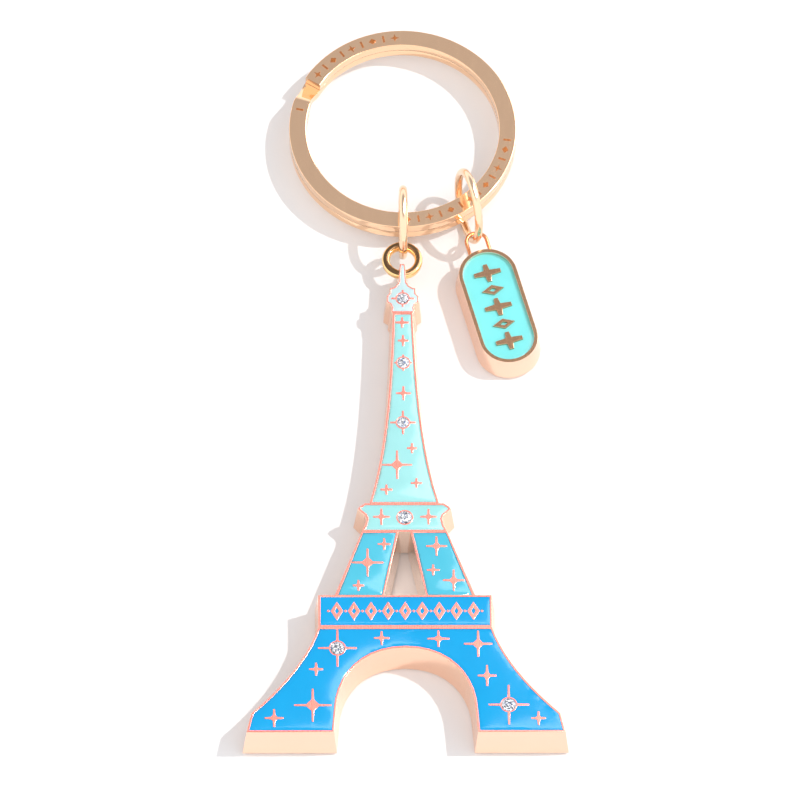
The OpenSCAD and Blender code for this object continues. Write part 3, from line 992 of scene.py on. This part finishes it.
# %% Bail on the tag
BAIL_RADIUS, BAIL_WIRE, BAIL_HEIGHT = 1.35, 0.24, 3.2
BAIL_LEG, BAIL_ROOT, BOW_STEPS, LEG_STEPS = 1.65, 0.7, 36, 6
TAG_LENGTH, TAG_X, TAG_BACK = 17.4, 12.55, 26.5
TAG_TURN = math.radians(15.3)
bow = arc(BAIL_RADIUS, 0, 180, BOW_STEPS) + np.array([0, BAIL_LEG, 0])
right = [(BAIL_RADIUS, y, 0) for y in np.linspace(-BAIL_ROOT, BAIL_LEG - 0.15, LEG_STEPS)]
left = [(-x, y, z) for x, y, z in reversed(right)]
bail_path = np.vstack([right, bow, left])
tag_place = (Matrix.Translation((TAG_X, ring_middle.y - TAG_BACK, 0))
             @ Matrix.Rotation(TAG_TURN, 4, "Z"))
bail_section = round_section(BAIL_WIRE, steps=20)
bail = make_piece("tag_bail_wire", *bent_wire(bail_path, bail_section, (0, 0, 1)),
                  tag_place @ Matrix.Translation((0, TAG_LENGTH / 2, BAIL_HEIGHT)))
fit_piece(bail, copper_wire, "tag", "pale_gold_wire", "tag_bail")

# %% [markdown]
# ## Floor, light and camera
# A plain pale floor and a bright studio around it. The studio is a world colour that is white
# all round and grey in one large patch overhead, because polished metal only looks like metal
# when it has something darker to reflect. One sun gives the clean shadow.

# %% Floor
FLOOR_SIZE = 3000.0
PAPER_CLOUD = 4.0
corners = [(x * FLOOR_SIZE, y * FLOOR_SIZE, 0) for x, y in ((-1, -1), (1, -1), (1, 1), (-1, 1))]
floor = make_piece("floor", corners, [(0, 1, 2, 3)], flat=True)
paper, where = start_material("pale paper floor")
fibres = add(paper.node_tree, "ShaderNodeTexNoise",
             values={"Scale": per_mm(PAPER_CLOUD), "Detail": 3},
             links={"Vector": (where, "Object")})
paper_tone = add(paper.node_tree, "ShaderNodeMix", {"data_type": "RGBA"},
                 links={"Factor": (fibres, "Fac")})
paper_tone.inputs[6].default_value = linear("#edebeb")
paper_tone.inputs[7].default_value = linear("#ebe9e9")
matte = add(paper.node_tree, "ShaderNodeBsdfPrincipled",
            values={"Roughness": 0.9, "Specular IOR Level": 0.1},
            links={"Base Color": (paper_tone, 2)})
floor.data.materials.append(end_material(paper, matte))

# %% Studio world
GREY_PATCH = (0.0126, 0.4818, 0.8762)
PATCH_EDGE, PATCH_CORE = math.radians(52), math.radians(30)
STUDIO_WHITE, STUDIO_GREY = (1.33, 1.36, 1.38, 1), (0.55, 0.54, 0.56, 1)
world = bpy.data.worlds.new("studio")
bpy.context.scene.world = world
world.use_nodes = True
world.node_tree.nodes.clear()
sky = add(world.node_tree, "ShaderNodeTexCoord")
toward = add(world.node_tree, "ShaderNodeVectorMath", {"operation": "DOT_PRODUCT"},
             values={1: GREY_PATCH}, links={0: (sky, "Generated")})
patch = add(world.node_tree, "ShaderNodeMapRange", {"interpolation_type": "SMOOTHSTEP"},
            values={"From Min": math.cos(PATCH_EDGE), "From Max": math.cos(PATCH_CORE)},
            links={"Value": (toward, "Value")})
studio_tone = add(world.node_tree, "ShaderNodeMix", {"data_type": "RGBA"},
                  links={"Factor": (patch, "Result")})
studio_tone.inputs[6].default_value = STUDIO_WHITE
studio_tone.inputs[7].default_value = STUDIO_GREY
back = add(world.node_tree, "ShaderNodeBackground", values={"Strength": 1.0},
           links={"Color": (studio_tone, 2)})
add(world.node_tree, "ShaderNodeOutputWorld", links={"Surface": (back, "Background")})
print("studio world: white", STUDIO_WHITE[:3], "and grey", STUDIO_GREY[:3])

# %% Sun
SUN_ALONG = Vector((-0.71, -0.12, -1.0))
SUN_STRENGTH, SUN_WIDTH = 1.6, math.radians(0.8)
sun = bpy.data.objects.new("sun", bpy.data.lights.new("sun", "SUN"))
sun.data.energy = SUN_STRENGTH
sun.data.angle = SUN_WIDTH
sun.rotation_euler = SUN_ALONG.to_track_quat("-Z", "Y").to_euler()
bpy.context.scene.collection.objects.link(sun)
bpy.context.scene.view_settings.view_transform = "Standard"
print("the sun's shadows are", round(math.hypot(SUN_ALONG.x, SUN_ALONG.y), 2), "of a height long")

# %% [markdown]
# A softbox on the right gives the enamel its highlight. It is seen only in reflections, as
# a small bright card is, so that it doesn't blur the shadows.

# %% Softbox
SOFTBOX_TOWARD = Vector((0.48, 0.42, 0.77)).normalized()
SOFTBOX_AWAY, SOFTBOX_WIDE, SOFTBOX_LONG, SOFTBOX_BRIGHT = 1.2, 0.7, 1.3, 6.0
softbox = bpy.data.objects.new("softbox", bpy.data.lights.new("softbox", "AREA"))
softbox.data.shape = "RECTANGLE"
softbox.data.size, softbox.data.size_y = SOFTBOX_WIDE, SOFTBOX_LONG
softbox.data.energy = SOFTBOX_BRIGHT * math.pi * SOFTBOX_WIDE * SOFTBOX_LONG
softbox.location = SOFTBOX_TOWARD * SOFTBOX_AWAY
softbox.rotation_euler = (-SOFTBOX_TOWARD).to_track_quat("-Z", "Y").to_euler()
softbox.visible_diffuse = False
softbox.visible_camera = False
bpy.context.scene.collection.objects.link(softbox)
print(f"softbox of {SOFTBOX_WIDE} x {SOFTBOX_LONG} m")

# %% [markdown]
# The camera stands well back with a long lens, which keeps the walls of the casting almost
# parallel, and looks down at about sixty degrees.

# %% Camera
VIEW = Vector((0.01255, 0.48186, -0.87616))
RIGHT = Vector((0.99992, -0.00678, 0.01059))
UP = Vector((0.00084, 0.87622, 0.48191))
AIM = Vector((-0.372, -0.725, 0.0))
DISTANCE = 1452.4
LENS, SENSOR, CLIP_END = 500, 36, 5
camera = bpy.data.objects.new("camera", bpy.data.cameras.new("camera"))
camera.data.lens = LENS
camera.data.sensor_width = SENSOR
camera.data.clip_end = CLIP_END
turn = Matrix((RIGHT, UP, -VIEW)).transposed().to_4x4()
camera.matrix_world = Matrix.Translation((AIM - VIEW * DISTANCE) * MM) @ turn
bpy.context.scene.collection.objects.link(camera)
bpy.context.scene.camera = camera
print(f"a lens of {LENS} mm, {DISTANCE * MM:.2f} m away")

# %% [markdown]
# The box of the finished model must be the box of the imported parts, or it would no longer
# fit the frame.

# %% Bring the scene up to date
bpy.context.view_layer.update()
